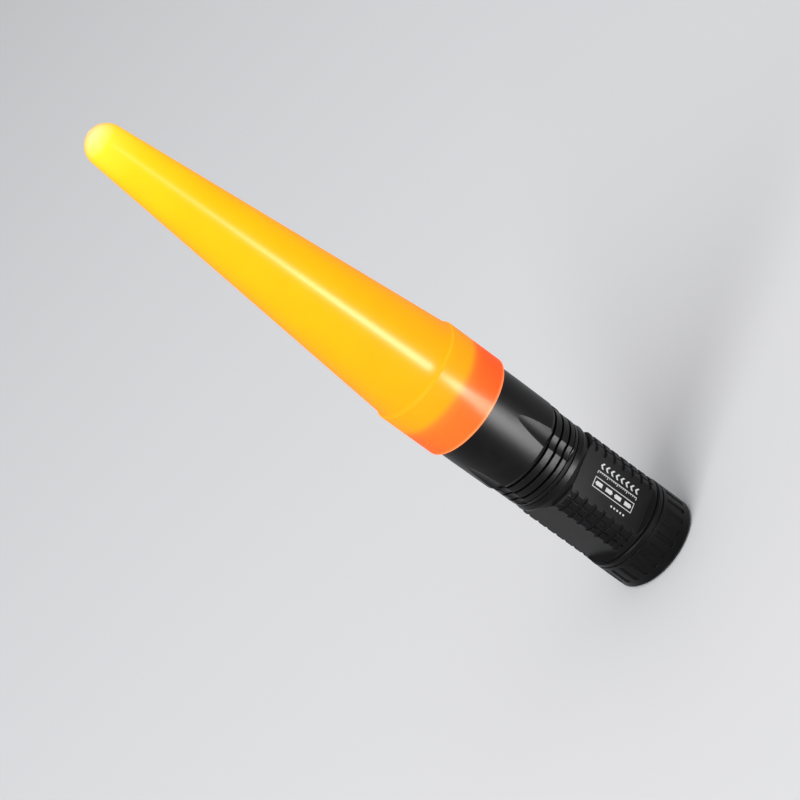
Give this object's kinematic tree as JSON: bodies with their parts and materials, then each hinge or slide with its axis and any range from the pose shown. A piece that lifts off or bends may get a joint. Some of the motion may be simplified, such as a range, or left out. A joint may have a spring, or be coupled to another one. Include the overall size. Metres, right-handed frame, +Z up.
{
  "type": "traffic baton light",
  "caption": "Hand torch with a push-on glowing orange wand: ribbed head, side button, flat-sided grip with cells inside, screw-on tail cap.",
  "frame": {"origin": "middle of the tail face, on the surface that the torch stands on", "axes": "+Z up the torch to the wand's tip, +X out of the side button, -Y out of the marked flat"},
  "size_m": [0.0436, 0.0436, 0.281],
  "materials": {
    "black_anodised": "satin black hard-anodised aluminium",
    "bezel_black": "fine-turned black anodised ring",
    "coated_glass": "clear coated toughened glass",
    "black_rubber": "matt black silicone",
    "mirror_coat": "vacuum-metallised bright reflector",
    "white_nylon": "white nylon",
    "bare_aluminium": "turned bare aluminium",
    "led_ceramic": "white ceramic carrier",
    "led_phosphor": "yellow phosphor under a clear silicone dome",
    "plain_steel": "zinc-plated steel",
    "spring_steel": "nickel-plated spring wire",
    "turned_brass": "turned brass",
    "circuit_board": "green solder mask on glass-fibre board",
    "chip_black": "moulded black epoxy",
    "ferrite": "dark grey ferrite",
    "capacitor_body": "tan ceramic",
    "wire_red": "red silicone insulation",
    "wire_black": "black silicone insulation",
    "wire_yellow": "yellow silicone insulation",
    "button_black": "fine-textured black moulding",
    "key_nylon": "natural nylon",
    "cell_can": "nickel-plated cell can",
    "cell_wrap": "shrunk-on printed sleeve",
    "wand_orange": "translucent glowing orange diffuser moulding"
  },
  "bodies": {
    "torch": {"torch_body": "black_anodised", "bezel_ring": "bezel_black", "front_lens": "coated_glass", "lens_seal": "black_rubber", "reflector": "mirror_coat", "led_spacer": "white_nylon", "led_board": "bare_aluminium", "led_base": "led_ceramic", "led_dome": "led_phosphor", "light_plate": "bare_aluminium", "plate_screws": "plain_steel", "led_leads": "wire_red", "driver_posts": "turned_brass", "driver_board": "circuit_board", "driver_coil": "ferrite", "driver_chips": "chip_black", "driver_capacitors": "capacitor_body", "battery_leads": "wire_black", "front_contact_board": "circuit_board", "front_contact_pads": "turned_brass", "front_springs": "spring_steel", "front_board_screw": "plain_steel", "switch_ring": "black_anodised", "switch_seal": "black_rubber", "tact_switch": "chip_black", "switch_board": "circuit_board", "switch_leads": "wire_yellow", "cell_1": "cell_can", "cell_2": "cell_can", "cell_3": "cell_can", "cell_4": "cell_can", "cell_sleeve_1": "cell_wrap", "cell_sleeve_2": "cell_wrap", "cell_sleeve_3": "cell_wrap", "cell_sleeve_4": "cell_wrap", "tail_seal": "black_rubber"},
    "switch": {"switch_button": "button_black", "tact_plunger": "key_nylon"},
    "tail_contacts": {"tail_contact_plate": "circuit_board", "tail_contact_pads": "turned_brass", "tail_springs": "spring_steel", "tail_key_pins": "turned_brass"},
    "tail_cap": {"tail_cap": "black_anodised", "tail_pivot_screw": "plain_steel", "tail_washer": "white_nylon"},
    "wand": {"wand_diffuser": "wand_orange"}
  },
  "joints": [
    {"name": "wand_pull_off", "type": "slide", "parent": "torch", "child": "wand", "axis": [0, 0, 1], "range_m": [0, 0.03]},
    {"name": "switch_press", "type": "slide", "parent": "torch", "child": "switch", "axis": [-1, 0, 0], "range_m": [0, 0.0006], "stiffness_N_per_m": 2000, "deforming": ["switch_seal"]},
    {"name": "tail_cap_travel", "type": "slide", "parent": "torch", "child": "tail_contacts", "axis": [0, 0, -1], "range_m": [0, 0.009]},
    {"name": "tail_cap_turn", "type": "hinge", "parent": "tail_contacts", "child": "tail_cap", "pos_m": [0, 0, 0.0053], "axis": [0, 0, -1], "range_deg": [0, 2160]}
  ],
  "couplings": [
    {"joint": "tail_cap_travel", "follows": "tail_cap_turn", "m_per_rad": 0.00023873}
  ]
}
